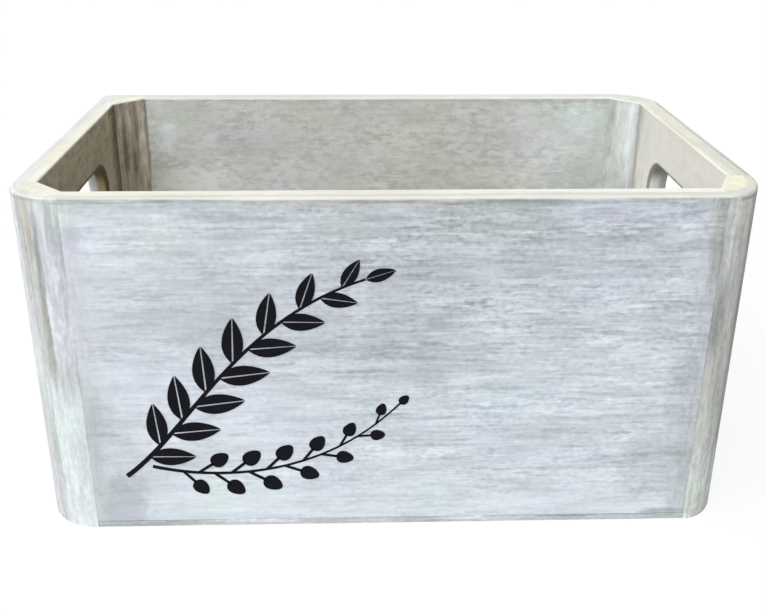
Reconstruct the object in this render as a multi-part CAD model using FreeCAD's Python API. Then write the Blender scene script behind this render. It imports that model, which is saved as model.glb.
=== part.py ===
import FreeCAD, Part
import math
import os

from FreeCAD import Placement, Rotation, Vector

# Open wooden box: four boards glued between four quarter-round corner posts, a loose spline
# across each seam, and a thin plywood base glued under the boards and cut out round the posts.
# Millimetres. The origin is under the middle of the box, +Z is up, the front faces -Y.

# Whole box
box_length = 320.0
box_depth = 200.0
box_height = 160.0
wall = 11.0  # thickness of the boards

# Corner posts: a leg is the post's width along a wall, and the outside is a quarter round
# from one leg to the other
post_leg = 25.0
slim_post_leg = 20.0  # the front right post is narrower along the front
deep_post_leg = 30.0  # and wider along the end
tight_round = 6.0  # the back left post is squarer outside than the others

# Sanded edges
rim_round = 1.6  # outer edge of the rim
inner_round = 1.0  # inner edge of the rim
seam_ease = 0.2  # taken off each board's upright corners, which shows as the seam line
joint_ease = 0.5  # chamfer on each board's lower outer edge, over the base

# Hand hole in each end board
hand_hole_length = 86.0
hand_hole_height = 33.0
hand_hole_drop = 24.8  # from the rim down to the hole
hand_hole_round = 2.5  # roundover on both faces of the board

# Base sheet
base_thickness = 3.0
base_inset = 0.3  # from the boards' outer faces in to the sheet's edges
base_post_gap = 0.2  # between the sheet and the posts

# Splines, half in the board and half in the post
spline_thickness = 3.0
spline_width = 12.0
spline_stop = 18.0  # from the rim down to the closed end of the groove
spline_lift = 1.0  # from the base up to the spline
spline_slack = 0.1  # room on each face of the spline
spline_end_gap = 0.4  # room at the spline's edges and top

overrun = 5.0  # how far a cutter passes the faces that it cuts

spline_place = wall / 2
up = Vector(0, 0, 1)

# Corners in order round the box, each with the turn that brings its post there, the post's
# legs along the side that follows and along the side before, and its outside round likewise
equal_legs = (post_leg, post_leg)
unequal_legs = (deep_post_leg, slim_post_leg)
tight_rounds = (tight_round, tight_round)
corners = [
    ("front_left", -box_length / 2, -box_depth / 2, 0, equal_legs, equal_legs),
    ("front_right", box_length / 2, -box_depth / 2, 90, unequal_legs, unequal_legs),
    ("back_right", box_length / 2, box_depth / 2, 180, equal_legs, equal_legs),
    ("back_left", -box_length / 2, box_depth / 2, 270, equal_legs, tight_rounds),
]

# Sides in the same order, each from its own corner to the next one:
# board, whether it has a hand hole, name of its two seams, span, middle to outer face, turn
sides = [
    ("front_panel", False, ("front_panel_left", "front_panel_right"), box_length, box_depth / 2, 0),
    ("right_end_panel", True, ("right_end_front", "right_end_back"), box_depth, box_length / 2, 90),
    ("back_panel", False, ("back_panel_right", "back_panel_left"), box_length, box_depth / 2, 180),
    ("left_end_panel", True, ("left_end_back", "left_end_front"), box_depth, box_length / 2, 270),
]


def corner_place(x, y, turn):
    # From a corner's own axes, which run in along the two walls, to the box
    return Placement(Vector(x, y, 0), Rotation(up, turn))


def side_place(reach, turn):
    # From a board's own axes, X along it and Y inwards from its outer face, to the box
    turned = Rotation(up, turn)
    return Placement(turned.multVec(Vector(0, -reach, 0)), turned)


def put(shape, place):
    return shape.transformed(place.toMatrix(), True)


def block(low_x, high_x, low_y, high_y, low_z, high_z):
    return Part.makeBox(high_x - low_x, high_y - low_y, high_z - low_z, Vector(low_x, low_y, low_z))


def sheet(outline, thickness):
    return Part.Face(Part.makePolygon(outline + outline[:1])).extrude(up * thickness)


def quarter_round(start, corner, end):
    # Quarter of a circle that rounds a square corner, or of an ellipse where its legs differ
    centre = start + end - corner
    long_end, short_end = start, end
    if (start - centre).Length < (end - centre).Length:
        long_end, short_end = end, start
    if math.isclose((start - centre).Length, (end - centre).Length):
        middle = centre + (corner - centre) * math.sqrt(0.5)
        return Part.Arc(start, middle, end).toShape()
    ellipse = Part.Ellipse(long_end, short_end, centre)
    return Part.ArcOfEllipse(ellipse, 0, math.pi / 2).toShape()


def board_section(x):
    # Section across a board with its outer face at Y = 0: rounded rim, eased lower edge
    outer_low = Vector(x, 0, box_height - rim_round)
    outer_high = Vector(x, rim_round, box_height)
    inner_high = Vector(x, wall - inner_round, box_height)
    inner_low = Vector(x, wall, box_height - inner_round)
    foot = [
        Vector(x, wall, base_thickness),
        Vector(x, joint_ease, base_thickness),
        Vector(x, 0, base_thickness + joint_ease),
    ]
    edges = [
        quarter_round(outer_low, Vector(x, 0, box_height), outer_high),
        Part.makeLine(outer_high, inner_high),
        quarter_round(inner_high, Vector(x, wall, box_height), inner_low),
    ]
    for start, end in zip([inner_low] + foot, foot + [outer_low]):
        edges.append(Part.makeLine(start, end))
    return Part.Face(Part.Wire(edges))


def seam_wedge(x, y, along, inwards):
    # Cutter that takes an upright corner off a board, from the rim's round down
    reach = seam_ease + overrun
    outline = [
        Vector(x + along * reach, y - inwards * overrun, 0),
        Vector(x - along * overrun, y + inwards * reach, 0),
        Vector(x - along * overrun, y - inwards * overrun, 0),
    ]
    return sheet(outline, box_height - rim_round)


def spline_groove(low_x, high_x):
    # Slot for half a spline, from the top of the base to a stop below the rim
    half = spline_thickness / 2 + spline_slack
    top = box_height - spline_stop
    return block(low_x, high_x, spline_place - half, spline_place + half, base_thickness, top)


def spline(seam):
    half = spline_thickness / 2
    reach = spline_width / 2
    bottom = base_thickness + spline_lift
    top = box_height - spline_stop - spline_end_gap
    return block(seam - reach, seam + reach, spline_place - half, spline_place + half, bottom, top)


def hand_hole():
    # Slot with round ends, through the board
    radius = hand_hole_height / 2
    half = hand_hole_length / 2 - radius
    top = box_height - hand_hole_drop
    middle = top - radius
    bottom = middle - radius
    edges = [
        Part.makeLine(Vector(-half, -overrun, top), Vector(half, -overrun, top)),
        Part.Arc(
            Vector(half, -overrun, top),
            Vector(half + radius, -overrun, middle),
            Vector(half, -overrun, bottom),
        ).toShape(),
        Part.makeLine(Vector(half, -overrun, bottom), Vector(-half, -overrun, bottom)),
        Part.Arc(
            Vector(-half, -overrun, bottom),
            Vector(-half - radius, -overrun, middle),
            Vector(-half, -overrun, top),
        ).toShape(),
    ]
    return Part.Face(Part.Wire(edges)).extrude(Vector(0, wall + 2 * overrun, 0))


def cut_hand_hole(board):
    cutter = hand_hole()
    board = board.cut(cutter)
    near = cutter.BoundBox
    near.enlarge(hand_hole_round)
    lips = []
    for edge in board.Edges:
        lies_in_a_face = edge.BoundBox.YLength < wall / 2
        if lies_in_a_face and near.isInside(edge.CenterOfMass):
            lips.append(edge)
    return board.makeFillet(hand_hole_round, lips)


def board(span, left_leg, right_leg):
    # Board from post to post, left and right as seen from outside the box
    left = left_leg - span / 2
    right = span / 2 - right_leg
    depth = spline_width / 2 + spline_end_gap
    cutters = [
        spline_groove(left - overrun, left + depth),
        spline_groove(right - depth, right + overrun),
    ]
    for x, along in ((left, 1), (right, -1)):
        for y, inwards in ((0, 1), (wall, -1)):
            cutters.append(seam_wedge(x, y, along, inwards))
    return board_section(left).extrude(Vector(right - left, 0, 0)).cut(cutters)


def height(face):
    return face.CenterOfMass.z


def from_corner(edge):
    return edge.CenterOfMass.x + edge.CenterOfMass.y


def post(legs, rounds):
    # Quarter round outside, two faces for the boards' ends, flat facet inside. A round that is
    # smaller than the legs goes on straight to the boards
    x_leg, y_leg = legs
    x_round, y_round = rounds
    edges = [
        Part.makeLine(Vector(x_leg, 0, 0), Vector(x_leg, wall, 0)),
        Part.makeLine(Vector(x_leg, wall, 0), Vector(wall, y_leg, 0)),
        Part.makeLine(Vector(wall, y_leg, 0), Vector(0, y_leg, 0)),
    ]
    if y_round < y_leg:
        edges.append(Part.makeLine(Vector(0, y_leg, 0), Vector(0, y_round, 0)))
    edges.append(quarter_round(Vector(0, y_round, 0), Vector(0, 0, 0), Vector(x_round, 0, 0)))
    if x_round < x_leg:
        edges.append(Part.makeLine(Vector(x_round, 0, 0), Vector(x_leg, 0, 0)))
    solid = Part.Face(Part.Wire(edges)).extrude(Vector(0, 0, box_height))
    rim = max(solid.Faces, key=height)
    outer = [edge for edge in rim.Edges if from_corner(edge) < min(legs)]
    solid = solid.makeFillet(rim_round, outer)
    rim = max(solid.Faces, key=height)
    solid = solid.makeFillet(inner_round, [max(rim.Edges, key=from_corner)])
    depth = spline_width / 2 + spline_end_gap
    groove = spline_groove(x_leg - depth, x_leg + overrun)
    across = spline_groove(y_leg - depth, y_leg + overrun)
    return solid.cut([groove, across.mirror(Vector(0, 0, 0), Vector(1, -1, 0))])


def base_sheet():
    # Sheet with its corners cut out round the posts
    outline = []
    for _, x, y, turn, legs, _ in corners:
        place = corner_place(x, y, turn)
        clear_x, clear_y = [leg + base_post_gap for leg in legs]
        for cut in ((base_inset, clear_y), (wall, clear_y), (clear_x, wall), (clear_x, base_inset)):
            outline.append(place.multVec(Vector(*cut, 0)))
    return sheet(outline, base_thickness)


def all_pieces():
    pieces = {"base_panel": base_sheet()}
    for name, x, y, turn, legs, rounds in corners:
        pieces[name + "_post"] = put(post(legs, rounds), corner_place(x, y, turn))
    for index, (name, has_hole, seams, span, reach, turn) in enumerate(sides):
        left_leg = corners[index][4][0]
        right_leg = corners[(index + 1) % len(corners)][4][1]
        solid = board(span, left_leg, right_leg)
        if has_hole:
            solid = cut_hand_hole(solid)
        place = side_place(reach, turn)
        pieces[name] = put(solid, place)
        pieces[seams[0] + "_spline"] = put(spline(left_leg - span / 2), place)
        pieces[seams[1] + "_spline"] = put(spline(span / 2 - right_leg), place)
    return pieces


os.makedirs("parts", exist_ok=True)
for node, shape in all_pieces().items():
    shape.exportStep(os.path.join("parts", node + ".step"))
    print(node, "valid", shape.isValid(), "solids", len(shape.Solids), "volume", round(shape.Volume))
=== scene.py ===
import math

import bpy
from mathutils import Matrix, Vector


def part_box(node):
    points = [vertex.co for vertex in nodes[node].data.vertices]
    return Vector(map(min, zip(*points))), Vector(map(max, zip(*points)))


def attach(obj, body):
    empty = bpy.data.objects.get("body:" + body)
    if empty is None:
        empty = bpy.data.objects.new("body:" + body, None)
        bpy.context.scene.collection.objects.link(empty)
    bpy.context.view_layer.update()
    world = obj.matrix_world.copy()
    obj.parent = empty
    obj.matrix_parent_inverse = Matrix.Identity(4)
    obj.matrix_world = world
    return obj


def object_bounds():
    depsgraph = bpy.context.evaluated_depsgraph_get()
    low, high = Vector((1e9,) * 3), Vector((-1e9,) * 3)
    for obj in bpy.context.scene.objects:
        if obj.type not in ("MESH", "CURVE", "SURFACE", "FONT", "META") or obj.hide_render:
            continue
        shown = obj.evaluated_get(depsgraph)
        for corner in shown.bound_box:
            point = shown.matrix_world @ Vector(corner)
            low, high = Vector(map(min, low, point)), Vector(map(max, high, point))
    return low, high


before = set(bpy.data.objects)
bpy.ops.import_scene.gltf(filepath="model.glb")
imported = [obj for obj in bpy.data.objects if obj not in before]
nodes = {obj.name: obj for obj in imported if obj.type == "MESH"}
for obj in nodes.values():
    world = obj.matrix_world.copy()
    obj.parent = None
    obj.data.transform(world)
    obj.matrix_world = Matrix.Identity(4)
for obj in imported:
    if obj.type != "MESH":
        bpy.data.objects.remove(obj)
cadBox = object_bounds()
rimHeight = cadBox[1].z
print("loaded", len(nodes), "wooden parts")


def srgb(red, green, blue):
    # 0 to 255 as a picture editor shows it, to the linear colour that Blender wants
    linear = []
    for value in (red, green, blue):
        share = value / 255
        linear.append(share / 12.92 if share <= 0.04045 else ((share + 0.055) / 1.055) ** 2.4)
    return (*linear, 1.0)


# Camera and studio

shot = {
    "place": (-0.01515, -0.49114, 0.28429),
    "turnRight": 1.8305,  # degrees
    "tiltDown": 23.8285,
    "roll": 0.2392,
    "lens": 47.163,  # on a 36 mm wide sensor
}

studio = {
    "sky": 0.34,  # level of the even light from all round
    "key": 1.0,  # level of the soft key, from the front left and above
    "keyFrom": (-0.56, -0.46, 0.72),
    "keyAngle": 80.0,  # degrees across, which makes it soft
    "floorSize": 6.0,
    "floorGrey": 0.5,  # what the floor bounces back on the box
    "floorWhite": 1.0,  # the floor's colour to the camera, which keeps the box's shadow
    "floorGlow": 0.88,  # how much of the floor is plain white to the camera
}


def addCamera():
    bpy.ops.object.select_all(action="DESELECT")
    bpy.ops.object.camera_add()
    camera = bpy.context.object
    camera.name = "photoCamera"
    turn = Matrix.Rotation(-math.radians(shot["turnRight"]), 4, "Z")
    tilt = Matrix.Rotation(math.radians(90 - shot["tiltDown"]), 4, "X")
    roll = Matrix.Rotation(math.radians(shot["roll"]), 4, "Z")
    camera.matrix_world = Matrix.Translation(shot["place"]) @ turn @ tilt @ roll
    camera.data.lens = shot["lens"]
    bpy.context.scene.camera = camera


# Small helpers for node trees

def wire(tree, value, socket):
    if isinstance(value, bpy.types.NodeSocket):
        tree.links.new(value, socket)
    else:
        socket.default_value = value


def addNode(tree, kind, values, **settings):
    node = tree.nodes.new("ShaderNode" + kind)
    for key, value in settings.items():
        setattr(node, key, value)
    for key, value in values.items():
        wire(tree, value, node.inputs[key])
    return node


def calc(tree, operation, *values):
    return addNode(tree, "Math", dict(enumerate(values)), operation=operation).outputs[0]


def fade(tree, value, low, high, floor=0.0, top=1.0):
    # From floor at low to top at high, smooth between
    values = {"Value": value, "From Min": low, "From Max": high, "To Min": floor, "To Max": top}
    return addNode(tree, "MapRange", values, interpolation_type="SMOOTHSTEP").outputs[0]


def tint(tree, share, under, over, blend="MIX"):
    values = {0: share, 6: under, 7: over}
    return addNode(tree, "Mix", values, data_type="RGBA", blend_type=blend).outputs[2]


def noise(tree, vector, scale, detail=2.0, roughness=0.5, shift=(0.0, 0.0, 0.0)):
    # Scale is how often the pattern comes in a metre, along each axis of the vector
    mapped = addNode(tree, "Mapping", {"Vector": vector, "Scale": scale, "Location": shift})
    values = {"Vector": mapped.outputs[0], "Scale": 1.0, "Detail": detail, "Roughness": roughness}
    return addNode(tree, "TexNoise", values).outputs[0]


def chips(tree, vector, scale, shift=(0.0, 0.0, 0.0)):
    # Flecks with sharp edges, each of one random value
    mapped = addNode(tree, "Mapping", {"Vector": vector, "Scale": scale, "Location": shift})
    values = {"Vector": mapped.outputs[0], "Scale": 1.0}
    return addNode(tree, "TexVoronoi", values).outputs["Color"]


def brighten(tree, colour, level):
    return addNode(tree, "HueSaturation", {"Color": colour, "Value": level}).outputs[0]


def combine(tree, x, y, z):
    return addNode(tree, "CombineXYZ", {0: x, 1: y, 2: z}).outputs[0]


def startGroup(name, inputs, outputs):
    tree = bpy.data.node_groups.new(name, "ShaderNodeTree")
    for label, kind, value in inputs:
        socket = tree.interface.new_socket(label, in_out="INPUT", socket_type="NodeSocket" + kind)
        socket.default_value = value
    for label, kind in outputs:
        tree.interface.new_socket(label, in_out="OUTPUT", socket_type="NodeSocket" + kind)
    given = tree.nodes.new("NodeGroupInput").outputs
    result = tree.nodes.new("NodeGroupOutput").inputs
    return tree, given, result


def useGroup(tree, group, **values):
    node = tree.nodes.new("ShaderNodeGroup")
    node.node_tree = group
    for key, value in values.items():
        wire(tree, value, node.inputs[key])
    return node.outputs


# Shared effects, each one node group

def makeRaggedEdge():
    # Mask that goes from 0 at Low to 1 at High, with its edge broken up by noise
    inputs = [
        ("Value", "Float", 0.0),
        ("Low", "Float", 0.0),
        ("High", "Float", 1.0),
        ("Vector", "Vector", (0, 0, 0)),
        ("Scale", "Vector", (200, 200, 200)),
        ("Break", "Float", 0.001),
    ]
    tree, given, result = startGroup("raggedEdge", inputs, [("Mask", "Float")])
    wobble = noise(tree, given["Vector"], given["Scale"], detail=3.0, roughness=0.6)
    centred = calc(tree, "SUBTRACT", wobble, 0.5)
    moved = calc(tree, "MULTIPLY_ADD", centred, given["Break"], given["Value"])
    wire(tree, fade(tree, moved, given["Low"], given["High"]), result["Mask"])
    return tree


# Brush marks: how often each kind comes in a metre along the grain and across it, how far the
# grain sways, and how much darker and paler each kind makes the wash
brush = {
    "sway": 0.0005,
    "ticks": (330, 500, 500),
    "dabs": (115, 900, 900),
    "lines": (38, 560, 560),
    "hairs": (5, 600, 600),
    "streaks": (32, 260, 260),
    "calm": (26, 60, 60),
    "clouds": (15, 34, 34),
    "tones": (13, 30, 30),
    "blushes": (15, 34, 34),
    "specks": (200, 310, 310),
    "crumbs": (170, 800, 800),
    "cloudLevels": (-0.12, 0.09),
    "streakLevels": (-0.115, 0.038),
    "hairLevels": (-0.052, 0.052),
    "speckLevels": (-0.15, 0.13),
}


def makeWashedGrain():
    # Thin white wash brushed along the grain: short pale and grey dashes over cloudy tones
    white = (1, 1, 1, 1)
    inputs = [
        ("Vector", "Vector", (0, 0, 0)),  # X along the grain, metres
        ("Wash", "Color", white),
        ("Grain", "Color", white),
        ("Chalk", "Color", white),
        ("Tone", "Color", white),
        ("Blush", "Color", white),
        ("Flecks", "Float", 1.0),
        ("Clouds", "Float", 1.0),
        ("Mottle", "Float", 0.0),
    ]
    outputs = [("Color", "Color"), ("Roughness", "Float"), ("Height", "Float")]
    tree, given, result = startGroup("washedGrain", inputs, outputs)
    vector = given["Vector"]
    sway = noise(tree, vector, (14, 45, 45), detail=1.0)
    bend = calc(tree, "MULTIPLY_ADD", sway, brush["sway"], -brush["sway"] / 2)
    parts = addNode(tree, "SeparateXYZ", {0: vector}).outputs
    swayed = combine(tree, parts[0], calc(tree, "ADD", parts[1], bend), parts[2])
    ticks = noise(tree, swayed, brush["ticks"], detail=2.0, roughness=0.55)
    dabs = chips(tree, swayed, brush["dabs"], shift=(4.3, 1.2, 7.4))
    lines = noise(tree, swayed, brush["lines"], detail=2.0, roughness=0.55, shift=(7.9, 5.1, 0.6))
    dashes = calc(tree, "MULTIPLY_ADD", ticks, 0.68, -0.26)
    dashes = calc(tree, "MULTIPLY_ADD", dabs, 0.30, dashes)
    dashes = calc(tree, "MULTIPLY_ADD", lines, 0.54, dashes)
    hairs = noise(tree, swayed, brush["hairs"], detail=2.0, roughness=0.6, shift=(3.1, 7.7, 1.9))
    streaks = noise(tree, swayed, brush["streaks"], detail=2.0, shift=(9.3, 2.2, 4.4))
    calm = noise(tree, vector, brush["calm"], detail=2.0, shift=(2.7, 3.9, 6.1))
    clouds = noise(tree, vector, brush["clouds"], detail=3.0, roughness=0.6, shift=(5.0, 1.0, 8.0))
    tones = noise(tree, vector, brush["tones"], detail=2.0, roughness=0.5, shift=(1.5, 6.0, 2.0))
    blushes = noise(tree, vector, brush["blushes"], detail=2.0, roughness=0.5, shift=(8.5, 4.0, 3.0))
    flecks = calc(tree, "MULTIPLY", fade(tree, calm, 0.3, 0.7, 0.44, 0.82), given["Flecks"])
    greyShare = calc(tree, "MULTIPLY", fade(tree, dashes, 0.52, 0.27), flecks)
    chalkShare = calc(tree, "MULTIPLY", fade(tree, dashes, 0.50, 0.71), flecks)
    colour = tint(tree, fade(tree, tones, 0.5, 0.64, 0.0, 0.7), given["Wash"], given["Tone"])
    colour = tint(tree, fade(tree, blushes, 0.52, 0.66, 0.0, 0.6), colour, given["Blush"])
    colour = tint(tree, greyShare, colour, given["Grain"])
    colour = tint(tree, chalkShare, colour, given["Chalk"])
    cloudLevel = fade(tree, clouds, 0.25, 0.75, *brush["cloudLevels"])
    streakLevel = fade(tree, streaks, 0.28, 0.58, *brush["streakLevels"])
    hairLevel = fade(tree, hairs, 0.25, 0.75, *brush["hairLevels"])
    level = calc(tree, "ADD", calc(tree, "ADD", cloudLevel, streakLevel), hairLevel)
    level = calc(tree, "MULTIPLY_ADD", level, given["Clouds"], 1.0)
    specks = noise(tree, vector, brush["specks"], detail=3.0, roughness=0.6, shift=(6.0, 2.5, 7.0))
    crumbs = chips(tree, vector, brush["crumbs"], shift=(1.0, 4.5, 2.0))
    specks = calc(tree, "MULTIPLY_ADD", fade(tree, crumbs, 0.6, 0.78), 0.16, specks)
    speckLevel = fade(tree, specks, 0.3, 0.7, *brush["speckLevels"])
    speckLevel = calc(tree, "MULTIPLY", speckLevel, fade(tree, calm, 0.35, 0.65, 0.5, 1.2))
    level = calc(tree, "MULTIPLY_ADD", speckLevel, given["Mottle"], level)
    wire(tree, brighten(tree, colour, level), result["Color"])
    wire(tree, fade(tree, dashes, 0.3, 0.7, 0.84, 0.64), result["Roughness"])
    height = calc(tree, "MULTIPLY_ADD", hairs, 0.4, calc(tree, "MULTIPLY", dashes, 0.6))
    wire(tree, height, result["Height"])
    return tree


def makeBareWood():
    # Sanded wood with soft rings along the grain and short dark pores
    inputs = [
        ("Vector", "Vector", (0, 0, 0)),
        ("Pale", "Color", (1, 1, 1, 1)),
        ("Ring", "Color", (1, 1, 1, 1)),
        ("Pore", "Color", (1, 1, 1, 1)),
    ]
    outputs = [("Color", "Color"), ("Height", "Float")]
    tree, given, result = startGroup("bareWood", inputs, outputs)
    vector = given["Vector"]
    rings = noise(tree, vector, (14, 260, 260), detail=3.0, roughness=0.6)
    pores = noise(tree, vector, (140, 1500, 1500), detail=1.0, shift=(2.0, 5.0, 3.0))
    patches = noise(tree, vector, (45, 90, 90), detail=2.0, shift=(7.0, 1.0, 4.0))
    colour = tint(tree, fade(tree, rings, 0.38, 0.66), given["Pale"], given["Ring"])
    colour = tint(tree, fade(tree, pores, 0.62, 0.78, 0.0, 0.6), colour, given["Pore"])
    colour = brighten(tree, colour, fade(tree, patches, 0.25, 0.75, 0.95, 1.04))
    wire(tree, colour, result["Color"])
    wire(tree, calc(tree, "SUBTRACT", rings, pores), result["Height"])
    return tree


def makePatch():
    # Soft patch round a place, with an edge that the noise breaks up to suit its size
    inputs = [
        ("Vector", "Vector", (0, 0, 0)),
        ("Place", "Vector", (0, 0, 0)),
        ("Size", "Vector", (0.01, 0.01, 0.01)),
        ("Break", "Float", 1.2),
    ]
    tree, given, result = startGroup("patch", inputs, [("Mask", "Float")])
    offset = addNode(tree, "VectorMath", {0: given["Vector"], 1: given["Place"]}, operation="SUBTRACT")
    shares = addNode(tree, "VectorMath", {0: offset.outputs[0], 1: given["Size"]}, operation="DIVIDE")
    reach = addNode(tree, "VectorMath", {0: shares.outputs[0]}, operation="LENGTH").outputs["Value"]
    seed = addNode(tree, "VectorMath", {0: shares.outputs[0], 1: given["Place"]}, operation="ADD")
    wobble = noise(tree, seed.outputs[0], (2.6, 2.6, 2.6), detail=3.0, roughness=0.65)
    centred = calc(tree, "SUBTRACT", wobble, 0.5)
    moved = calc(tree, "MULTIPLY_ADD", centred, given["Break"], reach)
    wire(tree, fade(tree, moved, 1.0, 0.35), result["Mask"])
    return tree


def makePostRound():
    # Where a point lies on a post: its turn, 0 at the end board to 1 at the long board, and
    # its reach from the round's middle, 1 on the outside
    inputs = [
        ("Vector", "Vector", (0, 0, 0)),
        ("Middle", "Vector", (0, 0, 0)),
        ("Legs", "Vector", (1, 1, 1)),
    ]
    outputs = [("Turn", "Float"), ("Reach", "Float")]
    tree, given, result = startGroup("postRound", inputs, outputs)
    offset = addNode(tree, "VectorMath", {0: given["Vector"], 1: given["Middle"]}, operation="SUBTRACT")
    shares = addNode(tree, "VectorMath", {0: offset.outputs[0], 1: given["Legs"]}, operation="DIVIDE")
    parts = addNode(tree, "SeparateXYZ", {0: shares.outputs[0]}).outputs
    angle = calc(tree, "ARCTAN2", parts[1], parts[0])
    flat = combine(tree, parts[0], parts[1], 0.0)
    reach = addNode(tree, "VectorMath", {0: flat}, operation="LENGTH").outputs["Value"]
    wire(tree, calc(tree, "DIVIDE", angle, math.pi / 2), result["Turn"])
    wire(tree, reach, result["Reach"])
    return tree


raggedEdge = makeRaggedEdge()
washedGrain = makeWashedGrain()
bareWood = makeBareWood()
patch = makePatch()
postRound = makePostRound()
print("node groups ready")


def ragged(tree, value, low, high, vector, scale, rough):
    values = {"Value": value, "Low": low, "High": high, "Vector": vector, "Scale": scale, "Break": rough}
    return useGroup(tree, raggedEdge, **values)["Mask"]


def spotMask(tree, vector, place, size):
    return useGroup(tree, patch, Vector=vector, Place=place, Size=size)["Mask"]


def startMaterial(name):
    material = bpy.data.materials.new(name)
    material.use_nodes = True
    tree = material.node_tree
    shader = tree.nodes["Principled BSDF"]
    place = tree.nodes.new("ShaderNodeTexCoord").outputs["Object"]
    axes = addNode(tree, "SeparateXYZ", {0: place}).outputs
    return material, tree, shader, place, axes


def finishMaterial(tree, shader, colour, roughness, height, depth):
    bump = addNode(tree, "Bump", {"Height": height, "Strength": 0.6, "Distance": depth})
    wire(tree, colour, shader.inputs["Base Color"])
    wire(tree, roughness, shader.inputs["Roughness"])
    wire(tree, bump.outputs[0], shader.inputs["Normal"])
    shader.inputs["Specular IOR Level"].default_value = 0.25


def dress(name, material):
    node = nodes[name]
    node.data.materials.clear()
    node.data.materials.append(material)


def washOf(*colours):
    return dict(zip(("Wash", "Grain", "Chalk", "Tone", "Blush"), [srgb(*colour) for colour in colours]))


def bareOf(*colours):
    return dict(zip(("Pale", "Ring", "Pore"), [srgb(*colour) for colour in colours]))


# Finishes: wash is the brushed white, grain the grey left between, chalk the thick strokes,
# tone and blush the patches where the wash is thinner or the wood under it differs

coolWash = washOf((212, 219, 227), (164, 172, 184), (236, 241, 247), (201, 209, 212), (207, 212, 222))
footWash = washOf((225, 233, 241), (193, 202, 213), (246, 250, 254), (221, 231, 236), (225, 231, 242))
postWash = washOf((208, 213, 215), (184, 189, 190), (238, 242, 243), (203, 214, 209), (211, 211, 221))
greenWash = washOf((207, 210, 207), (178, 182, 178), (228, 232, 230), (199, 204, 196), (206, 207, 207))
warmWash = washOf((208, 210, 206), (186, 188, 184), (226, 229, 226), (198, 206, 200), (208, 209, 216))
blueWash = washOf((198, 203, 203), (176, 183, 186), (224, 229, 232), (191, 198, 195), (203, 207, 214))
taupeWash = washOf((184, 173, 151), (164, 151, 128), (201, 192, 174), (178, 171, 147), (183, 168, 149))
oakWash = washOf((192, 182, 162), (146, 132, 108), (226, 220, 206), (178, 168, 144), (196, 184, 168))
paleWash = washOf((236, 235, 229), (221, 220, 213), (243, 242, 238), (233, 234, 224), (235, 232, 229))
dimWash = washOf((190, 196, 196), (158, 165, 166), (222, 227, 228), (180, 188, 184), (194, 196, 204))
creamRim = bareOf((242, 242, 233), (232, 232, 222), (212, 210, 198))
whiteRim = bareOf((231, 233, 231), (222, 224, 221), (204, 205, 200))
greyRim = bareOf((206, 206, 200), (191, 191, 185), (170, 170, 163))
dullRim = bareOf((230, 229, 218), (219, 218, 206), (198, 196, 184))
frontRim = bareOf((225, 226, 218), (216, 217, 208), (198, 198, 189))
paleRim = bareOf((226, 227, 221), (216, 217, 210), (196, 196, 188))


def lean(red, green, blue):
    # What turns the plain wash into this colour, and leaves its grain in it
    target = srgb(red, green, blue)
    return (*[target[k] / coolWash["Wash"][k] for k in range(3)], 1.0)


mint = lean(210, 224, 222)
aqua = lean(207, 222, 228)
lilac = lean(202, 206, 222)
mauve = lean(184, 188, 204)
moss = lean(197, 209, 206)
slate = lean(188, 196, 205)
stone = lean(164, 171, 178)
milk = lean(226, 233, 240)
snow = lean(231, 244, 251)
teal = lean(184, 195, 198)
khaki = lean(198, 195, 172)
ashen = lean(184, 188, 186)
sage = lean(196, 206, 200)
olive = lean(152, 156, 152)
rose = lean(208, 205, 210)
# Painted shade, plain grey
shade = (0.56, 0.56, 0.56, 1.0)
# Painted shade for a crease in an inside corner
paintedCreaseShade = lean(110, 112, 114)
# Brown painted shade, for the back left inside corner
brownPaintedShade = (0.26, 0.25, 0.21, 1.0)
# Painted light: lifts patches on the inner faces where shade falls
paintedLight = (1.35, 1.36, 1.38, 1.0)
frost = (1.16, 1.19, 1.27, 1.0)
# Painted highlight, strong and cool
paintedHighlight = (1.5, 1.56, 1.66, 1.0)
mist = (0.90, 0.93, 0.98, 1.0)
# Brown painted shade in the left hand hole, under its arch and along its lip
brownHoleShade = srgb(104, 92, 71)
drab = srgb(158, 142, 113)
# Grey painted shade in the right hand hole, under its arch and along its lip
greyHoleShade = srgb(150, 150, 143)
greyLipShade = srgb(150, 151, 146)
smoke = srgb(190, 187, 178)
ashGrey = srgb(168, 165, 155)
chalkGrey = srgb(240, 240, 236)
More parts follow.
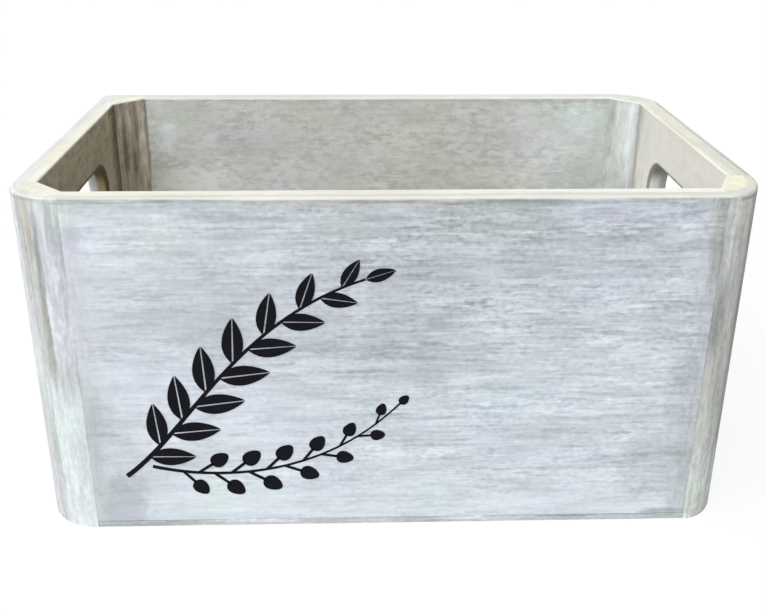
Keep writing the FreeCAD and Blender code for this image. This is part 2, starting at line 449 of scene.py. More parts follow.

# Rim: wood at its outer and inner edge, how far in they meet, strength of the line inside.
# Corner shades: which end, width, lowest height, colour and share of painted shade inside, in the corner
# along the seam at that end.
# Patches: place along the board and up, size, colour and share, outside or inside.
# Levels: the same, for patches outside where the wash is only paler or darker
boardLooks = {
    "front_panel": {
        "along": "X", "outside": coolWash, "inside": warmWash, "foot": footWash,
        "rim": (frontRim, creamRim, 0.0045, 0.35), "ends": (postWash, dimWash),
        "calm": 0.4, "mottle": 0.8, "coarse": 0.9,
        "seams": [],
        "innerPatches": [],
        "patches": [
            (0.042, 0.1562, 0.046, 0.0030, olive, 0.35),
            (-0.100, 0.1598, 0.075, 0.0017, ashen, 1.0),
            (-0.010, 0.1576, 0.080, 0.0036, khaki, 0.25),
            (-0.130, 0.154, 0.010, 0.007, mint, 0.6),
            (-0.131, 0.143, 0.006, 0.008, mauve, 0.6),
            (-0.095, 0.142, 0.016, 0.005, mint, 0.5),
            (-0.018, 0.148, 0.022, 0.008, moss, 0.45),
            (0.040, 0.147, 0.036, 0.011, moss, 0.7),
            (0.098, 0.153, 0.024, 0.005, lilac, 0.7),
            (0.1385, 0.145, 0.0055, 0.027, ashen, 0.65),
            (0.073, 0.117, 0.008, 0.004, moss, 0.7),
            (0.052, 0.067, 0.020, 0.012, aqua, 0.9),
            (-0.080, 0.020, 0.010, 0.014, mint, 0.6),
            (0.020, 0.016, 0.014, 0.008, mint, 0.5),
        ],
        "levels": [
            (-0.118, 0.143, 0.048, 0.019, 0.08),
            (-0.046, 0.149, 0.022, 0.006, 0.10),
            (0.074, 0.1480, 0.026, 0.0045, 0.10),
            (0.078, 0.1405, 0.038, 0.0045, -0.11),
            (0.122, 0.143, 0.009, 0.007, 0.12),
            (-0.114, 0.120, 0.062, 0.060, 0.14),
            (-0.054, 0.132, 0.018, 0.009, 0.09),
            (-0.084, 0.109, 0.042, 0.015, -0.15),
            (0.045, 0.119, 0.036, 0.007, -0.06),
            (0.082, 0.105, 0.026, 0.012, -0.10),
            (0.082, 0.089, 0.046, 0.011, 0.10),
            (0.006, 0.098, 0.024, 0.020, -0.11),
            (0.018, 0.0935, 0.008, 0.0016, -0.30),
            (0.019, 0.081, 0.017, 0.013, -0.13),
            (0.026, 0.106, 0.013, 0.007, -0.12),
            (-0.090, 0.080, 0.014, 0.018, 0.09),
            (0.131, 0.069, 0.010, 0.028, -0.15),
            (-0.085, 0.062, 0.050, 0.022, 0.09),
            (-0.128, 0.060, 0.010, 0.016, -0.11),
            (-0.104, 0.046, 0.018, 0.012, 0.10),
            (0.086, 0.048, 0.024, 0.012, -0.13),
            (0.124, 0.030, 0.024, 0.021, -0.19),
            (-0.065, 0.020, 0.046, 0.020, 0.10),
            (-0.121, 0.012, 0.016, 0.022, -0.24),
            (0.129, 0.0044, 0.014, 0.0028, -0.34),
        ],
    },
    "back_panel": {
        "along": "X", "outside": coolWash, "inside": warmWash, "foot": footWash,
        "rim": (whiteRim, paleRim, 0.004, 0.35), "ends": (postWash, greenWash),
        "calm": 0.2, "mottle": 0.9, "coarse": 1.0,
        # Painted shade in the crease at the back wall's left end
        "seams": [(-1, 0.0018, 0.120, paintedCreaseShade, 0.7)],
        "innerPatches": [
            # Painted light on the left part of the back wall's inside, where the left wall's shadow
            # falls
            (-0.130, 0.110, 0.055, 0.048, paintedLight, 0.85),
            (-0.129, 0.144, 0.014, 0.022, paintedLight, 0.35),
            (-0.070, 0.100, 0.060, 0.035, paintedLight, 0.35),
            (-0.112, 0.104, 0.040, 0.018, paintedLight, 0.6),
            (-0.122, 0.138, 0.006, 0.011, frost, 0.9),
            (-0.116, 0.149, 0.010, 0.005, mint, 0.7),
            (-0.046, 0.150, 0.022, 0.008, mint, 0.3),
            (0.104, 0.138, 0.028, 0.026, frost, 0.4),
            (0.122, 0.148, 0.016, 0.014, frost, 0.8),
            (0.118, 0.108, 0.034, 0.022, mist, 0.9),
            (0.048, 0.125, 0.050, 0.050, ashen, 0.32),
            (-0.020, 0.146, 0.060, 0.024, ashen, 0.14),
            (0.122, 0.108, 0.030, 0.022, ashen, 0.15),
            (0.094, 0.110, 0.022, 0.024, frost, 0.3),
        ],
        "patches": [
            (-0.110, 0.140, 0.020, 0.010, slate, 0.6),
            (-0.060, 0.150, 0.024, 0.006, lilac, 0.6),
            (0.070, 0.145, 0.034, 0.010, moss, 0.6),
            (0.010, 0.110, 0.020, 0.008, slate, 0.5),
            (-0.050, 0.060, 0.024, 0.010, mint, 0.6),
            (0.100, 0.050, 0.016, 0.016, slate, 0.6),
            (0.030, 0.020, 0.018, 0.010, mint, 0.5),
        ],
    },
    "left_end_panel": {
        "along": "Y", "outside": coolWash, "inside": taupeWash, "foot": footWash,
        "rim": (whiteRim, creamRim, 0.0045, 0.35), "ends": (postWash, postWash),
        "calm": 0.15, "mottle": 1.5, "coarse": 0.6,
        # Brown painted shade along the left wall's back end, in the corner
        "seams": [(1, 0.020, 0.0, brownPaintedShade, 0.8), (1, 0.006, 0.0, brownPaintedShade, 0.4)],
        "innerPatches": [
            (0.044, 0.142, 0.030, 0.014, sage, 0.5),
            (-0.030, 0.136, 0.030, 0.014, rose, 0.4),
            # Painted shade on the left wall's inside, near its top
            (0.024, 0.150, 0.036, 0.016, shade, 0.2),
        ],
        # Hand hole colours: in each pair the second comes in towards the top, and where it is darker it
        # is painted shade; the lip colour is painted shade
        "hole": {
            "inner": (drab, brownHoleShade), "outer": (ashGrey, ashGrey), "lipShade": brownHoleShade,
            "share": 0.6, "reach": 0.0060, "spread": 0.0034,
        },
        "patches": [
            (-0.040, 0.150, 0.022, 0.006, moss, 0.6),
            (0.045, 0.080, 0.018, 0.008, slate, 0.6),
            (-0.050, 0.060, 0.014, 0.016, lilac, 0.5),
            (0.010, 0.030, 0.024, 0.010, mint, 0.6),
        ],
    },
    "right_end_panel": {
        "along": "Y", "outside": coolWash, "inside": paleWash, "foot": footWash,
        "rim": (greyRim, dullRim, 0.003, 0.08), "ends": (greenWash, greenWash),
        "calm": 0.12, "mottle": 0.25, "coarse": 0.6,
        # Painted shade inside the right wall, in the corner along its back end
        "seams": [(1, 0.0110, 0.0, shade, 0.9), (1, 0.036, 0.0, shade, 0.3)],
        "innerPatches": [
            (0.015, 0.148, 0.095, 0.036, ashen, 0.2),
        ],
        # Hand hole colours as on the left: painted shade at the top and along the lip
        "hole": {
            "inner": (chalkGrey, greyHoleShade), "outer": (smoke, greyHoleShade), "lipShade": greyLipShade,
            "share": 0.9, "reach": 0.0065, "spread": 0.0026,
        },
        "patches": [
            (0.040, 0.150, 0.022, 0.006, moss, 0.6),
            (-0.045, 0.075, 0.018, 0.008, slate, 0.6),
            (0.050, 0.055, 0.014, 0.016, lilac, 0.5),
            (-0.010, 0.025, 0.024, 0.010, mint, 0.6),
        ],
    },
}

wallThickness = 0.011

# Outsides of the boards
washing = {
    "stillLeft": 0.58,  # strength of the brush marks at a board's left end
    "stillFoot": 0.65,  # and along its foot
    "step": (0.093, 0.075),  # heights between which the wash gets paler, downwards
    "sole": (0.036, 0.004),  # and paler again
    "stepShare": 0.6,
    "soleShare": 0.5,
    "ends": (0.0105, 0.001),  # from the seams in, how far upright smears reach
    "endShare": 0.72,
}

handHole = {
    "middle": 0.1187,  # height of its middle
    "half": 0.0265,  # half of its straight part
    "radius": 0.0165,
}


def mixPalettes(tree, share, first, second):
    return {key: tint(tree, share, first[key], second[key]) for key in first}


# Patches on the rim, which run over its joints: place, size, colour and share
butter = (1.05, 1.02, 0.88, 1.0)
# Darker patches along the middle of the rims
rimDarkening = (0.86, 0.86, 0.85, 1.0)
rimPatches = [
    (0.149, -0.080, 0.012, 0.012, butter, 0.9),
    (-0.146, 0.090, 0.014, 0.010, butter, 0.7),
    (-0.138, -0.088, 0.022, 0.010, butter, 0.4),
    (-0.152, -0.020, 0.006, 0.050, butter, 0.6),
    (0.154, -0.030, 0.004, 0.034, rimDarkening, 0.4),
    (-0.060, 0.096, 0.060, 0.006, rimDarkening, 0.5),
    (0.075, -0.094, 0.050, 0.004, rimDarkening, 0.4),
]
patchReach = 1.6  # how far a patch's broken edge can lie, in its sizes

# Depths below the top of the rim
rimEdge = {
    "line": (0.0036, 0.0018),  # from there up the grey-olive line comes in
    "bare": (0.0014, 0.0006),  # and here the bare wood
    "climb": 0.0006,  # how much higher the wash goes at the left
    # The grey-olive line: the wash's edge, and partly painted shade on the outer round
    "edgeLineAndShade": srgb(150, 151, 143),
}


def addRim(tree, place, x, z, inset, colour, grain, rim, box):
    # Bare sanded rim with a crisp edge, and a broken grey-olive line where the wash stops, which on the
    # outer round is partly painted shade.
    # The wash climbs further up the round towards the left
    outer, inner, width, innerLine = rim
    climb = fade(tree, x, -0.045, -0.110, 0.0, rimEdge["climb"])
    z = calc(tree, "SUBTRACT", z, climb)
    line = fade(tree, z, *[rimHeight - depth for depth in rimEdge["line"]])
    broken = noise(tree, place, (45, 45, 300), detail=3.0, shift=(4.0, 2.0, 1.0))
    strength = fade(tree, inset, 0.004, 0.006, 1.0, innerLine)
    share = calc(tree, "MULTIPLY", line, fade(tree, broken, 0.38, 0.6, 0.1, 0.75))
    share = calc(tree, "MULTIPLY", share, strength)
    colour = tint(tree, share, colour, rimEdge["edgeLineAndShade"])
    bared = ragged(tree, inset, width - 0.0005, width + 0.0005, place, (90, 90, 90), 0.0016)
    bare = useGroup(tree, bareWood, Vector=grain, **mixPalettes(tree, bared, outer, inner))["Color"]
    low, high = box
    for patchX, patchY, sizeX, sizeY, patchColour, patchShare in rimPatches:
        pastX = max(low.x - patchX, patchX - high.x) / sizeX
        pastY = max(low.y - patchY, patchY - high.y) / sizeY
        if max(pastX, pastY) > patchReach:
            continue
        spot = spotMask(tree, place, (patchX, patchY, rimHeight), (sizeX, sizeY, 0.1))
        bare = tint(tree, calc(tree, "MULTIPLY", spot, patchShare), bare, patchColour, "MULTIPLY")
    lowest, highest = [rimHeight - depth for depth in rimEdge["bare"]]
    mask = ragged(tree, z, lowest, highest, place, (120, 120, 120), 0.0004)
    return tint(tree, mask, colour, bare)


def addHoleLips(tree, place, y, z, inset, colour, lips):
    # Wash worn off the roundovers of the hand hole, more from the inside, with painted shade that
    # darkens towards the top of the hole and along the inner lip
    past = calc(tree, "SUBTRACT", calc(tree, "ABSOLUTE", y), handHole["half"])
    past = calc(tree, "MAXIMUM", past, 0.0)
    up = calc(tree, "SUBTRACT", z, handHole["middle"])
    far = addNode(tree, "VectorMath", {0: combine(tree, past, up, 0.0)}, operation="LENGTH")
    edge = calc(tree, "SUBTRACT", far.outputs["Value"], handHole["radius"])
    mask = ragged(tree, edge, lips["spread"], lips["spread"] / 2, place, (160, 160, 160), 0.0012)
    start = wallThickness - lips["reach"]
    deep = ragged(tree, inset, start - 0.001, start + 0.001, place, (120, 120, 120), 0.003)
    # Painted shade under the hole's arch: towards the top, the second colour of each pair comes in
    top = fade(tree, z, handHole["middle"] + 0.003, handHole["middle"] + 0.012)
    outer = tint(tree, top, *lips["outer"])
    inner = tint(tree, top, *lips["inner"])
    # Painted shade: a dark line along the inner lip
    lipShade = fade(tree, inset, wallThickness - 0.0018, wallThickness - 0.0010)
    colour = tint(tree, calc(tree, "MULTIPLY", mask, lips["share"]), colour, outer)
    colour = tint(tree, calc(tree, "MULTIPLY", mask, deep), colour, inner)
    return tint(tree, calc(tree, "MULTIPLY", mask, lipShade), colour, lips["lipShade"])


def stain(tree, colour, mask, strength, side, over):
    # Multiply a colour in where a mask lies, on one side of a piece
    share = calc(tree, "MULTIPLY", calc(tree, "MULTIPLY", mask, strength), side)
    return tint(tree, share, colour, over, "MULTIPLY")


def addPatches(tree, flat, side, colour, patches):
    # Patches on one side of a board, as a mask tells
    for patchX, patchZ, sizeX, sizeZ, patchColour, patchShare in patches:
        mask = spotMask(tree, flat, (patchX, patchZ, 0), (sizeX, sizeZ, 1))
        colour = stain(tree, colour, mask, patchShare, side, patchColour)
    return colour


def addLevels(tree, flat, side, colour, levels):
    # Paler and darker patches on one side of a board
    change = 0.0
    for patchX, patchZ, sizeX, sizeZ, amount in levels:
        mask = spotMask(tree, flat, (patchX, patchZ, 0), (sizeX, sizeZ, 1))
        change = calc(tree, "MULTIPLY_ADD", mask, amount, change)
    return brighten(tree, colour, calc(tree, "MULTIPLY_ADD", change, side, 1.0))


def makeBoardMaterial(name, look):
    material, tree, shader, place, axes = startMaterial(name + "Wash")
    low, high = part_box(name)
    x, y, z = axes
    alongX = look["along"] == "X"
    along = x if alongX else y
    depth = y if alongX else x
    middle = (low + high) / 2
    half = (high - low) / 2
    thickMiddle = middle.y if alongX else middle.x
    longMiddle = middle.x if alongX else middle.y
    longHalf = half.x if alongX else half.y
    outerFace = abs(thickMiddle) + wallThickness / 2
    outwards = 1 if thickMiddle > 0 else -1
    inset = calc(tree, "SUBTRACT", outerFace, calc(tree, "MULTIPLY", depth, outwards))
    inside = fade(tree, inset, wallThickness / 2 - 0.001, wallThickness / 2 + 0.001)
    outside = calc(tree, "SUBTRACT", 1.0, inside)
    grain = combine(tree, along, z, depth)
    foot = 0.0
    for part in ("sole", "step"):
        begin, end = washing[part]
        mask = ragged(tree, z, begin, end, grain, (16, 60, 60), 0.03)
        foot = calc(tree, "MULTIPLY_ADD", mask, washing[part + "Share"], foot)
    palette = mixPalettes(tree, foot, look["outside"], look["foot"])
    palette = mixPalettes(tree, inside, palette, look["inside"])
    still = calc(
        tree, "MULTIPLY", fade(tree, along, -0.8 * longHalf, 0.0, washing["stillLeft"], 1.0),
        fade(tree, z, 0.006, 0.034, washing["stillFoot"], 1.0),
    )
    palette["Flecks"] = fade(tree, inside, 0.0, 1.0, still, look["calm"])
    palette["Clouds"] = palette["Flecks"]
    palette["Mottle"] = calc(tree, "MULTIPLY", inside, look["mottle"])
    scale = fade(tree, inside, 0.0, 1.0, 1.0, look["coarse"])
    scaled = addNode(tree, "VectorMath", {0: grain, "Scale": scale}, operation="SCALE").outputs[0]
    washed = useGroup(tree, washedGrain, Vector=scaled, **palette)
    side = calc(tree, "GREATER_THAN", along, longMiddle)
    palette.update(mixPalettes(tree, inside, mixPalettes(tree, side, *look["ends"]), look["inside"]))
    brushed = useGroup(tree, washedGrain, Vector=combine(tree, z, along, depth), **palette)
    fromMiddle = calc(tree, "SUBTRACT", along, longMiddle)
    fromEnd = calc(tree, "SUBTRACT", longHalf, calc(tree, "ABSOLUTE", fromMiddle))
    begin, end = washing["ends"]
    ends = ragged(tree, fromEnd, begin, end, grain, (300, 60, 60), 0.016)
    ends = calc(tree, "MULTIPLY", calc(tree, "MULTIPLY", ends, outside), washing["endShare"])
    colour = tint(tree, ends, washed["Color"], brushed["Color"])
    flat = combine(tree, along, z, 0.0)
    colour = addPatches(tree, flat, outside, colour, look["patches"])
    colour = addLevels(tree, flat, outside, colour, look.get("levels", []))
    colour = addPatches(tree, flat, inside, colour, look["innerPatches"])
    # Painted shade inside, in the corner along the seam at one end
    for end, width, bottom, cornerShadeColour, cornerShadeShare in look["seams"]:
        away = calc(tree, "MULTIPLY_ADD", fromMiddle, -end, longHalf)
        near = ragged(tree, away, width, width * 0.2, grain, (300, 90, 90), width)
        above = ragged(tree, z, bottom - 0.012, bottom + 0.006, grain, (200, 60, 60), 0.03)
        mask = calc(tree, "MULTIPLY", near, above)
        colour = stain(tree, colour, mask, cornerShadeShare, inside, cornerShadeColour)
    if "hole" in look:
        colour = addHoleLips(tree, place, y, z, inset, colour, look["hole"])
    colour = addRim(tree, place, x, z, inset, colour, grain, look["rim"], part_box(name))
    finishMaterial(tree, shader, colour, washed["Roughness"], washed["Height"], 0.0003)
    dress(name, material)


for boardName, boardLook in boardLooks.items():
    makeBoardMaterial(boardName, boardLook)
print("boards washed")


# Bands: two turns on the round, two heights, colour and share. Inner patches: place, width,
# height, colour and share, on the facet inside
postLooks = {
    "front_left_post": {
        "streaks": 0.6, "mottle": 0.6,
        "middle": (-0.135, -0.075, 0), "legs": (-0.025, -0.025, 1),
        "outside": postWash, "inside": taupeWash, "rim": (whiteRim, creamRim, 0.0035, 0.35),
        "innerPatches": [],
        "bands": [
            (0.52, 0.72, 0.075, 0.165, ashen, 0.6),
            (0.42, 0.56, 0.125, 0.165, ashen, 0.7),
            (0.57, 0.65, 0.138, 0.160, khaki, 0.6),
            (0.66, 0.74, 0.080, 0.150, olive, 0.6),
            (0.86, 0.94, 0.142, 0.165, teal, 0.9),
            (0.90, 1.02, 0.125, 0.146, mauve, 0.4),
            (0.62, 1.02, -0.010, 0.072, snow, 0.9),
            (0.42, 0.62, -0.010, 0.066, sage, 0.35),
            (0.10, 0.42, 0.060, 0.145, milk, 0.3),
        ],
    },
    "front_right_post": {
        "streaks": 0.4, "mottle": 0.6,
        "middle": (0.140, -0.070, 0), "legs": (0.020, -0.030, 1),
        "outside": greenWash, "inside": paleWash, "rim": (frontRim, creamRim, 0.004, 0.08),
        "innerPatches": [],
        "bands": [
            # Painted shade in olive on the side of the round turned from the key, then painted light in
            # milk that flattens the round's shading between turns 0.62 and 0.92
            (-0.20, 0.57, 0.040, 0.165, olive, 0.5),
            (0.62, 0.92, -0.010, 0.165, milk, 0.6),
            (0.76, 0.96, 0.128, 0.165, milk, 0.7),
            (0.74, 0.90, 0.070, 0.100, rose, 0.35),
            (0.84, 1.02, 0.075, 0.125, slate, 0.7),
            (0.87, 1.02, 0.090, 0.112, stone, 0.5),
            (0.91, 1.02, 0.128, 0.165, slate, 0.8),
            (0.30, 1.02, -0.010, 0.030, snow, 0.7),
            (0.95, 1.00, -0.010, 0.028, snow, 0.6),
        ],
    },
    "back_left_post": {
        "streaks": 0.6, "mottle": 1.2,
        "middle": (-0.135, 0.075, 0), "legs": (-0.025, 0.025, 1),
        "outside": postWash, "inside": oakWash, "rim": (whiteRim, creamRim, 0.006, 0.35),
        "innerPatches": [
            # Among these patches: painted highlights, painted light and brown painted shade on the back
            # left facet
            (-0.1472, 0.0768, 0.150, 0.0016, 0.012, paintedHighlight, 0.7),
            (-0.1455, 0.0785, 0.130, 0.0022, 0.024, brownPaintedShade, 0.65),
            (-0.1420, 0.0820, 0.148, 0.0030, 0.014, paintedLight, 0.8),
            (-0.1415, 0.0825, 0.124, 0.0020, 0.012, brownPaintedShade, 0.6),
            (-0.1370, 0.0870, 0.135, 0.0034, 0.045, paintedHighlight, 0.95),
            (-0.1395, 0.0845, 0.116, 0.0040, 0.030, paintedLight, 0.4),
            (-0.1370, 0.0870, 0.142, 0.0034, 0.034, frost, 0.1),
        ],
        "bands": [
            (0.40, 0.62, 0.080, 0.165, ashen, 0.6),
            (0.70, 1.02, -0.010, 0.070, mint, 0.5),
        ],
    },
    "back_right_post": {
        "streaks": 0.3, "mottle": 0.8,
        "middle": (0.135, 0.075, 0), "legs": (0.025, 0.025, 1),
        "outside": greenWash, "inside": blueWash, "rim": (whiteRim, paleRim, 0.004, 0.2),
        "innerPatches": [
            (0.1370, 0.0870, 0.152, 0.0024, 0.008, moss, 0.5),
            (0.1370, 0.0870, 0.148, 0.0046, 0.028, ashen, 0.45),
            # Painted light on the back right facet
            (0.1466, 0.0774, 0.138, 0.0042, 0.038, paintedLight, 0.6),
            (0.1405, 0.0835, 0.128, 0.0030, 0.012, moss, 0.6),
        ],
        "bands": [
            (0.45, 0.70, 0.070, 0.165, khaki, 0.5),
            (0.00, 0.30, -0.010, 0.090, mint, 0.5),
        ],
    },
}


def makePostMaterial(name, look):
    material, tree, shader, place, axes = startMaterial(name + "Wash")
    x, y, z = axes
    grain = combine(tree, z, x, y)
    spot = useGroup(tree, postRound, Vector=place, Middle=look["middle"], Legs=look["legs"])
    inside = fade(tree, spot["Reach"], 0.84, 0.74)
    outside = calc(tree, "SUBTRACT", 1.0, inside)
    palette = mixPalettes(tree, inside, look["outside"], look["inside"])
    palette["Flecks"] = fade(tree, inside, 0.0, 1.0, 0.7, look["streaks"])
    palette["Mottle"] = fade(tree, inside, 0.0, 1.0, 0.45, look["mottle"])
    scale = fade(tree, inside, 0.0, 1.0, 1.0, 0.6)
    scaled = addNode(tree, "VectorMath", {0: grain, "Scale": scale}, operation="SCALE").outputs[0]
    washed = useGroup(tree, washedGrain, Vector=scaled, **palette)
    colour = washed["Color"]
    for patchX, patchY, patchZ, width, height, patchColour, patchShare in look["innerPatches"]:
        mask = spotMask(tree, place, (patchX, patchY, patchZ), (width, width, height))
        colour = stain(tree, colour, mask, patchShare, inside, patchColour)
    for first, last, bottom, top, bandColour, bandShare in look["bands"]:
        enter = ragged(tree, spot["Turn"], first - 0.03, first + 0.03, grain, (50, 350, 350), 0.16)
        leave = ragged(tree, spot["Turn"], last + 0.015, last - 0.015, grain, (45, 330, 330), 0.12)
        above = ragged(tree, z, bottom - 0.012, bottom + 0.012, grain, (40, 420, 420), 0.05)
        below = ragged(tree, z, top + 0.008, top - 0.008, grain, (40, 400, 400), 0.03)
        around = calc(tree, "MULTIPLY", enter, leave)
        mask = calc(tree, "MULTIPLY", around, calc(tree, "MULTIPLY", above, below))
        colour = stain(tree, colour, mask, bandShare, outside, bandColour)
    inset = calc(tree, "MULTIPLY", calc(tree, "SUBTRACT", 1.0, spot["Reach"]), abs(look["legs"][0]))
    colour = addRim(tree, place, x, z, inset, colour, grain, look["rim"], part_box(name))
    finishMaterial(tree, shader, colour, washed["Roughness"], washed["Height"], 0.0003)
    dress(name, material)


for postName, postLook in postLooks.items():
    makePostMaterial(postName, postLook)
print("posts washed")


# Marks on the strip of the base under the front board: place, size and change of level
stripMarks = [
    (-0.118, 0.0012, 0.026, 0.0040, -0.14),
    (-0.062, 0.0026, 0.030, 0.0020, 0.30),
    (-0.020, 0.0026, 0.030, 0.0020, 0.16),
    (0.035, 0.0022, 0.018, 0.0026, 0.20),
    (0.082, 0.0030, 0.018, 0.0014, -0.25),
    (0.108, 0.0020, 0.018, 0.0026, 0.28),
]
sheetLook = bareOf((206, 198, 178), (190, 179, 154), (156, 142, 118))


def makeSheetMaterial():
    # Plywood, with grey wash on the edges that show under the boards
    material, tree, shader, place, axes = startMaterial("plywood")
    x, y, z = axes
    raw = useGroup(tree, bareWood, Vector=place, **sheetLook)
    low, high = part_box("base_panel")
    pastX = calc(tree, "SUBTRACT", calc(tree, "ABSOLUTE", x), high.x - 0.001)
    pastY = calc(tree, "SUBTRACT", calc(tree, "ABSOLUTE", y), high.y - 0.001)
    edge = fade(tree, calc(tree, "MAXIMUM", pastX, pastY), 0.0, 0.0008)
    around = combine(tree, calc(tree, "ADD", x, y), z, 0.0)
    washed = useGroup(tree, washedGrain, Vector=around, **postWash)
    dim = noise(tree, place, (24, 24, 24), detail=2.0, shift=(3.0, 1.0, 2.0))
    level = fade(tree, z, low.z, high.z, 0.94, fade(tree, dim, 0.38, 0.62, 0.78, 0.98))
    for markX, markZ, width, height, change in stripMarks:
        mark = spotMask(tree, place, (markX, low.y, markZ), (width, 0.01, height))
        level = calc(tree, "MULTIPLY_ADD", mark, change, level)
    colour = tint(tree, edge, raw["Color"], brighten(tree, washed["Color"], level))
    roughness = fade(tree, raw["Height"], -0.3, 0.3, 0.6, 0.8)
    finishMaterial(tree, shader, colour, roughness, raw["Height"], 0.0002)
    dress("base_panel", material)


def makeSplineMaterial():
    material, tree, shader, place, axes = startMaterial("splineWood")
    x, y, z = axes
    raw = useGroup(tree, bareWood, Vector=combine(tree, z, x, y), **sheetLook)
    roughness = fade(tree, raw["Height"], -0.3, 0.3, 0.6, 0.8)
    finishMaterial(tree, shader, raw["Color"], roughness, raw["Height"], 0.0002)
    for name in nodes:
        if name.endswith("_spline"):
            dress(name, material)


makeSheetMaterial()
makeSplineMaterial()
print("base and splines finished")


# Leafy sprigs on the front board, cut from thin dark film. Drawn flat with x to the right and
# y up, then stood up against the board

sprig = {
    "face": -0.100,  # the front board's outer face
    "sink": 0.0002,  # how far the film is pressed into the wash
    "thick": 0.0005,
    "leafLength": 0.027,
    "leafWidth": 0.0112,
    "vein": 0.0008,
    "taper": 0.45,  # wider at the stalk
    "budLength": 0.0075,
    "budWidth": 0.0058,
    "budTaper": 0.5,
    "budOverlap": 0.0006,  # how far it goes over its stalk
    "budThin": 0.9,  # its share of the film's thickness
    "stalk": 0.007,
    "stalkWidth": 0.0011,
    "stemTip": 0.45,  # its width at the tip, as a share
    "close": 0.25,  # how much less the last leaves turn out
    "swell": 0.28,  # how much larger the middle leaves are
    "stems": [
        {
            "path": [(-0.119, 0.028), (-0.090, 0.050), (-0.066, 0.106), (-0.010, 0.124)],
            "width": 0.0024, "leaves": 15, "from": 0.13, "first": 0.78, "last": 0.5, "turn": 47,
            "bud": False,
        },
        {
            "path": [(-0.107, 0.033), (-0.082, 0.026), (-0.034, 0.024), (0.002, 0.061)],
            "width": 0.0018, "leaves": 13, "from": 0.16, "first": 1.15, "last": 0.7, "turn": 40,
            "bud": True,
        },
    ],
}


def finishFlat(piece, thick):
    # Give a flat drawing its thickness
    bpy.ops.object.mode_set(mode="EDIT")
    bpy.ops.mesh.select_all(action="SELECT")
    bpy.ops.mesh.extrude_region_move(TRANSFORM_OT_translate={"value": (0, 0, thick)})
    bpy.ops.mesh.select_all(action="SELECT")
    bpy.ops.mesh.normals_make_consistent(inside=False)
    bpy.ops.object.mode_set(mode="OBJECT")
    return piece


def taperShape(piece, factor):
    shape = piece.modifiers.new("taper", "SIMPLE_DEFORM")
    shape.deform_method = "TAPER"
    shape.deform_axis = "X"
    shape.factor = factor
    bpy.ops.object.modifier_apply(modifier=shape.name)


def moveMesh(move, size=(1, 1, 1)):
    # Scale and then shift the whole mesh of the active piece
    bpy.ops.object.mode_set(mode="EDIT")
    bpy.ops.mesh.select_all(action="SELECT")
    bpy.ops.transform.resize(value=size)
    bpy.ops.transform.translate(value=move)
    bpy.ops.object.mode_set(mode="OBJECT")


def makeLeaf():
    # Half of the leaf is a slice of a disc, and the other half mirrors it across the vein
    half = sprig["leafLength"] / 2
    bow = sprig["leafWidth"] / 2
    radius = (half ** 2 + bow ** 2) / (2 * bow)
    bpy.ops.object.select_all(action="DESELECT")
    bpy.ops.mesh.primitive_circle_add(vertices=128, radius=radius, fill_type="NGON")
    leaf = bpy.context.object
    bpy.ops.object.mode_set(mode="EDIT")
    bpy.ops.mesh.select_all(action="SELECT")
    bpy.ops.transform.translate(value=(0, bow - radius, 0))
    bpy.ops.mesh.bisect(plane_co=(0, sprig["vein"] / 2, 0), plane_no=(0, 1, 0), clear_inner=True)
    bpy.ops.object.mode_set(mode="OBJECT")
    mirror = leaf.modifiers.new("otherHalf", "MIRROR")
    mirror.use_axis = (False, True, False)
    mirror.use_mirror_merge = False
    bpy.ops.object.modifier_apply(modifier=mirror.name)
    taperShape(leaf, -sprig["taper"])
    finishFlat(leaf, sprig["thick"])
    moveMesh((half, 0, 0))
    leaf.name = "leafShape"
    return leaf


def makeBud():
    # Egg-shaped bud on a short stalk
    length = sprig["budLength"]
    bpy.ops.object.select_all(action="DESELECT")
    bpy.ops.mesh.primitive_circle_add(vertices=40, radius=length / 2, fill_type="NGON")
    bud = bpy.context.object
    moveMesh((0, 0, 0), (1, sprig["budWidth"] / length, 1))
    taperShape(bud, -sprig["budTaper"])
    moveMesh((sprig["stalk"] + length / 2 - sprig["budOverlap"], 0, 0))
    bpy.ops.object.select_all(action="DESELECT")
    bpy.ops.mesh.primitive_plane_add(size=1)
    stalk = bpy.context.object
    moveMesh((sprig["stalk"] / 2, 0, 0), (sprig["stalk"], sprig["stalkWidth"], 1))
    bud.select_set(True)
    bpy.context.view_layer.objects.active = bud
    bpy.ops.object.join()
    finishFlat(bud, sprig["thick"] * sprig["budThin"])
    bud.name = "budShape"
    return bud


def makeStem(stem):
    # Tapered line, flattened to the film's thickness
    bpy.ops.object.select_all(action="DESELECT")
    bpy.ops.curve.primitive_bezier_curve_add()
    line = bpy.context.object
    start, startHandle, endHandle, end = [Vector((x, y, 0)) for x, y in stem["path"]]
    first, last = line.data.splines[0].bezier_points
    for point in (first, last):
        point.handle_left_type = "FREE"
        point.handle_right_type = "FREE"
    first.co, first.handle_right, first.handle_left = start, startHandle, start * 2 - startHandle
    last.co, last.handle_left, last.handle_right = end, endHandle, end * 2 - endHandle
    first.radius = 1.0
    last.radius = sprig["stemTip"]
    line.data.resolution_u = 48
    line.data.bevel_depth = stem["width"] / 2
    line.data.bevel_resolution = 3
    line.data.use_fill_caps = True
    bpy.ops.object.convert(target="MESH")
    bpy.ops.object.mode_set(mode="EDIT")
    bpy.ops.mesh.select_all(action="SELECT")
    bpy.ops.mesh.remove_doubles(threshold=0.00001)
    bpy.ops.transform.resize(value=(1, 1, sprig["thick"] / stem["width"]))
    bpy.ops.transform.translate(value=(0, 0, sprig["thick"] / 2))
    bpy.ops.mesh.normals_make_consistent(inside=False)
    bpy.ops.object.mode_set(mode="OBJECT")
    return line


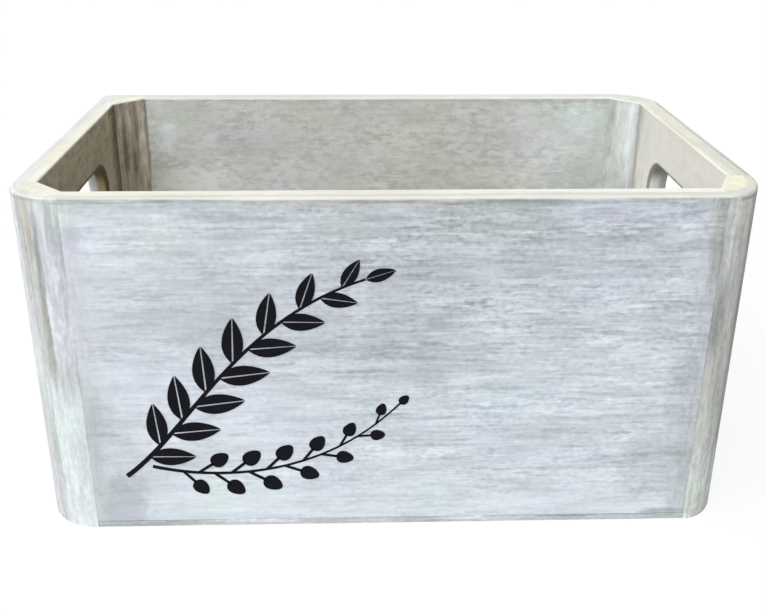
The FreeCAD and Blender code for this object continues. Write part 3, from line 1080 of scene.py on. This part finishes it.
def alongStem(stem, share):
    # Place and direction on the stem's line
    a, b, c, d = [Vector((x, y, 0)) for x, y in stem["path"]]
    rest = 1 - share
    place = a * rest ** 3 + b * 3 * rest ** 2 * share + c * 3 * rest * share ** 2 + d * share ** 3
    way = (b - a) * rest ** 2 + (c - b) * 2 * rest * share + (d - c) * share ** 2
    return place, math.atan2(way.y, way.x)


def makeSprig():
    leaf = makeLeaf()
    bud = makeBud()
    pieces = []
    for stem in sprig["stems"]:
        pieces.append(makeStem(stem))
        for index in range(stem["leaves"]):
            along = index / (stem["leaves"] - 1)
            place, angle = alongStem(stem, stem["from"] + (1 - stem["from"]) * along)
            side = 1 if index % 2 else -1
            lastOne = index == stem["leaves"] - 1
            out = 0 if lastOne else math.radians(stem["turn"]) * side * (1 - sprig["close"] * along)
            size = stem["first"] + (stem["last"] - stem["first"]) * along
            size *= 1 + sprig["swell"] * math.sin(math.pi * along)
            bpy.ops.object.select_all(action="DESELECT")
            shape = bud if stem["bud"] else leaf
            shape.select_set(True)
            bpy.context.view_layer.objects.active = shape
            bpy.ops.object.duplicate()
            copy = bpy.context.object
            copy.location = place
            copy.rotation_euler = (0, 0, angle + out)
            copy.scale = (size, size, 1)
            pieces.append(copy)
    bpy.ops.object.select_all(action="DESELECT")
    for shape in (leaf, bud):
        shape.select_set(True)
    bpy.ops.object.delete()
    for piece in pieces:
        piece.select_set(True)
    whole = pieces[0]
    bpy.context.view_layer.objects.active = whole
    bpy.ops.object.join()
    whole.name = "leafSprig"
    whole.rotation_euler = (math.radians(90), 0, 0)
    whole.location = (0, sprig["face"] + sprig["sink"], 0)
    bpy.ops.object.transform_apply(location=True, rotation=True, scale=True)
    return whole


filmLook = bareOf((9, 10, 20), (5, 6, 13), (18, 20, 32))


def makeFilmMaterial():
    material, tree, shader, place, axes = startMaterial("darkFilm")
    x, y, z = axes
    grain = combine(tree, x, z, y)
    film = useGroup(tree, bareWood, Vector=grain, **filmLook)
    washed = useGroup(tree, washedGrain, Vector=grain)
    roughness = fade(tree, film["Height"], -0.3, 0.3, 0.42, 0.6)
    finishMaterial(tree, shader, film["Color"], roughness, washed["Height"], 0.0002)
    shader.inputs["Specular IOR Level"].default_value = 0.12
    return material


ornament = makeSprig()
ornament.data.materials.clear()
ornament.data.materials.append(makeFilmMaterial())
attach(ornament, "root")
print("sprig on the front,", len(ornament.data.polygons), "faces")


# Light, sky and floor

def seenByRays(tree):
    # 1 for what the camera sees, straight or by a reflection
    rays = tree.nodes.new("ShaderNodeLightPath").outputs
    seen = calc(tree, "MAXIMUM", rays["Is Camera Ray"], rays["Is Glossy Ray"])
    return calc(tree, "MAXIMUM", seen, rays["Is Transmission Ray"])


def addStudio():
    world = bpy.data.worlds.new("studioWorld")
    bpy.context.scene.world = world
    world.use_nodes = True
    tree = world.node_tree
    tree.nodes.clear()
    seen = seenByRays(tree)
    sky = addNode(tree, "Background", {"Color": (1, 1, 1, 1), "Strength": studio["sky"]})
    white = addNode(tree, "Background", {"Color": (1, 1, 1, 1), "Strength": 1.0})
    mixed = addNode(tree, "MixShader", {0: seen, 1: sky.outputs[0], 2: white.outputs[0]})
    wire(tree, mixed.outputs[0], tree.nodes.new("ShaderNodeOutputWorld").inputs["Surface"])

    aim = -Vector(studio["keyFrom"])
    bpy.ops.object.light_add(type="SUN", rotation=aim.to_track_quat("-Z", "Y").to_euler())
    key = bpy.context.object
    key.name = "keyLamp"
    key.data.angle = math.radians(studio["keyAngle"])
    key.data.energy = studio["key"] * math.pi

    bpy.ops.mesh.primitive_plane_add(size=studio["floorSize"])
    floor = bpy.context.object
    floor.name = "floor"
    material = bpy.data.materials.new("paleFloor")
    material.use_nodes = True
    tree = material.node_tree
    tree.nodes.clear()
    seen = seenByRays(tree)
    share = calc(tree, "MULTIPLY", seen, studio["floorGlow"])
    grey = (*[studio["floorGrey"]] * 3, 1.0)
    white = (*[studio["floorWhite"]] * 3, 1.0)
    paint = addNode(tree, "BsdfDiffuse", {"Color": tint(tree, seen, grey, white)})
    shine = addNode(tree, "Emission", {"Color": (1, 1, 1, 1), "Strength": 1.0})
    mixed = addNode(tree, "MixShader", {0: share, 1: paint.outputs[0], 2: shine.outputs[0]})
    wire(tree, mixed.outputs[0], tree.nodes.new("ShaderNodeOutputMaterial").inputs["Surface"])
    floor.data.materials.append(material)


addCamera()
addStudio()
bpy.context.scene.view_settings.view_transform = "Standard"
print("studio ready")
